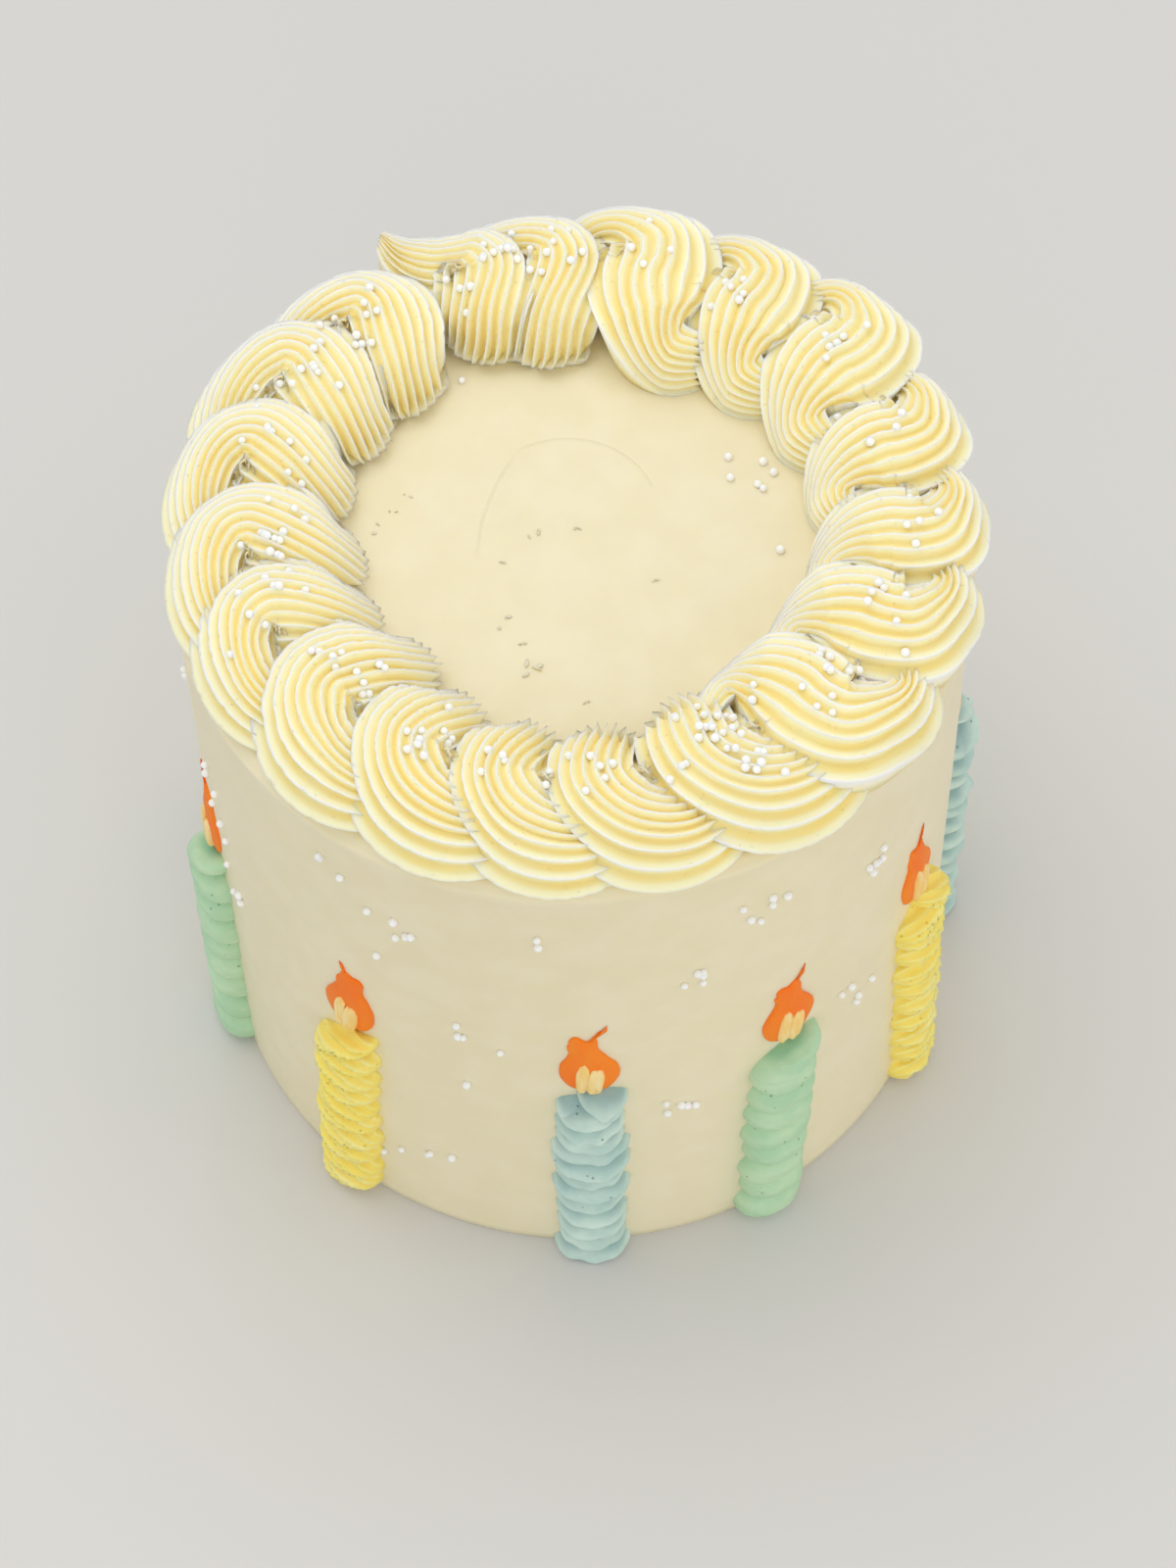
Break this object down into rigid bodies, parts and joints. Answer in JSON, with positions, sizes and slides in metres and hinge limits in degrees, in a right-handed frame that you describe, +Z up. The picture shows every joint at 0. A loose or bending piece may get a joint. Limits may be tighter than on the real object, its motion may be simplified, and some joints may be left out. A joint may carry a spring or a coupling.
{
  "type": "birthday cake",
  "caption": "Tall round cake in smooth pale buttercream, with a rope border of piped swirls on top and candles with flames piped up its side.",
  "frame": {"origin": "centre of the cake's flat base, at the surface that it stands on", "axes": "+Z up through the cake's middle; -Y towards the side that faces the viewer; +X to the viewer's right"},
  "size_m": [0.2113, 0.2147, 0.2111],
  "materials": {
    "smooth_icing": "smooth ivory buttercream with a soft sheen",
    "piped_cream": "pale yellow whipped buttercream with fine crisp ridges",
    "blue_icing": "matt grey-blue buttercream with small air pits",
    "mint_icing": "matt mint green buttercream with small air pits",
    "yellow_icing": "matt yellow buttercream with fine ridges",
    "flame_icing": "orange buttercream smeared thin with a palette knife",
    "heart_icing": "pale yellow buttercream smeared over the orange"
  },
  "bodies": {
    "root": {"cake": "smooth_icing", "swirl_01": "piped_cream", "swirl_02": "piped_cream", "swirl_03": "piped_cream", "swirl_04": "piped_cream", "swirl_05": "piped_cream", "swirl_06": "piped_cream", "swirl_07": "piped_cream", "swirl_08": "piped_cream", "swirl_09": "piped_cream", "swirl_10": "piped_cream", "swirl_11": "piped_cream", "swirl_12": "piped_cream", "swirl_13": "piped_cream", "swirl_14": "piped_cream", "swirl_15": "piped_cream", "swirl_16": "piped_cream", "swirl_17": "piped_cream", "swirl_18": "piped_cream", "swirl_19": "piped_cream", "candle_01_blue": "blue_icing", "candle_02_mint": "mint_icing", "candle_03_yellow": "yellow_icing", "candle_04_blue": "blue_icing", "candle_05_mint": "mint_icing", "candle_06_yellow": "yellow_icing", "candle_07_blue": "blue_icing", "candle_08_mint": "mint_icing", "candle_09_yellow": "yellow_icing", "candle_10_blue": "blue_icing", "candle_11_mint": "mint_icing", "candle_12_yellow": "yellow_icing", "flame_01": "flame_icing", "flame_02": "flame_icing", "flame_03": "flame_icing", "flame_04": "flame_icing", "flame_05": "flame_icing", "flame_06": "flame_icing", "flame_07": "flame_icing", "flame_08": "flame_icing", "flame_09": "flame_icing", "flame_10": "flame_icing", "flame_11": "flame_icing", "flame_12": "flame_icing", "flame_heart_01": "heart_icing", "flame_heart_02": "heart_icing", "flame_heart_03": "heart_icing", "flame_heart_04": "heart_icing", "flame_heart_05": "heart_icing", "flame_heart_06": "heart_icing", "flame_heart_07": "heart_icing", "flame_heart_08": "heart_icing", "flame_heart_09": "heart_icing", "flame_heart_10": "heart_icing", "flame_heart_11": "heart_icing", "flame_heart_12": "heart_icing"}
  },
  "joints": []
}
